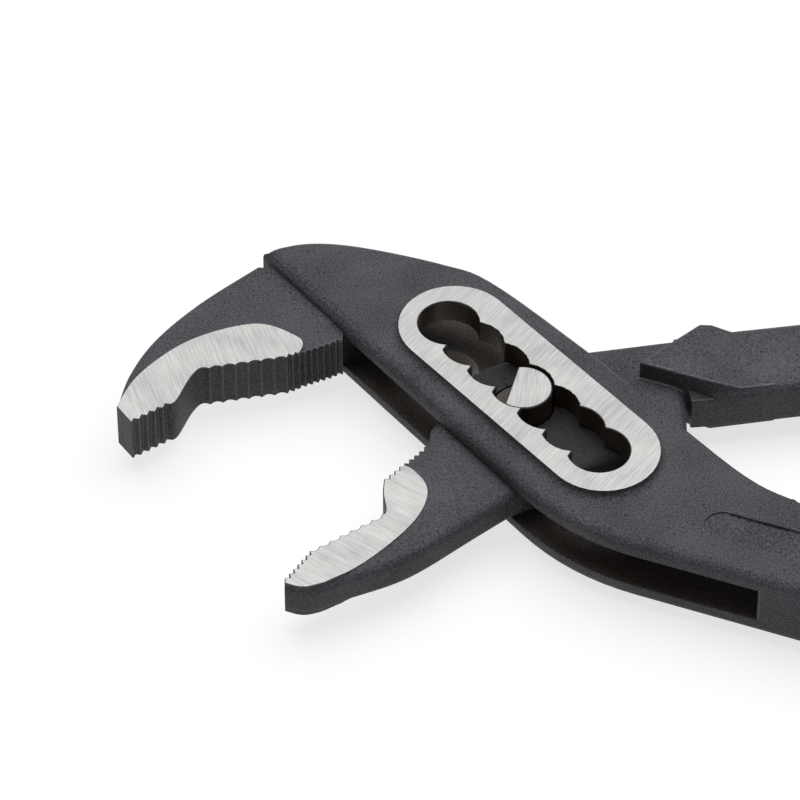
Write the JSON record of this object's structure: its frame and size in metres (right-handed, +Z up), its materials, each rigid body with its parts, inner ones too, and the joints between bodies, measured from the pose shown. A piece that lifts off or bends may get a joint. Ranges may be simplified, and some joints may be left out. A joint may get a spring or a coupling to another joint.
{
  "type": "water pump pliers",
  "caption": "Slip-joint water pump pliers with a box joint, a notched adjusting slot, toothed jaws and dipped handle grips.",
  "frame": {"origin": "joint pin's axis in the middle notch, on the plane that the underside of the joint rests on", "axes": "+X from the jaws to the handles, +Y towards the side of the inner handle, +Z up along the pin"},
  "size_m": [0.299, 0.1389, 0.0176],
  "materials": {
    "black_steel": "blasted and black phosphated forging, ground bright on the ring and the jaw sides",
    "ground_steel": "ground",
    "dipped_vinyl": "satin dipped coating"
  },
  "bodies": {
    "outer": {"outer_half": "black_steel", "outer_grip": "dipped_vinyl"},
    "pin": {"joint_pin": "ground_steel"},
    "inner": {"inner_half": "black_steel", "inner_grip": "dipped_vinyl"}
  },
  "joints": [
    {"name": "jaw_adjust", "type": "slide", "parent": "outer", "child": "pin", "axis": [0.6293, -0.7771, 0], "range_m": [-0.02145, 0.02145]},
    {"name": "jaw_pivot", "type": "hinge", "parent": "pin", "child": "inner", "pos_m": [0, 0, 0.0088], "axis": [0, 0, 1], "range_deg": [-20, 54]}
  ]
}
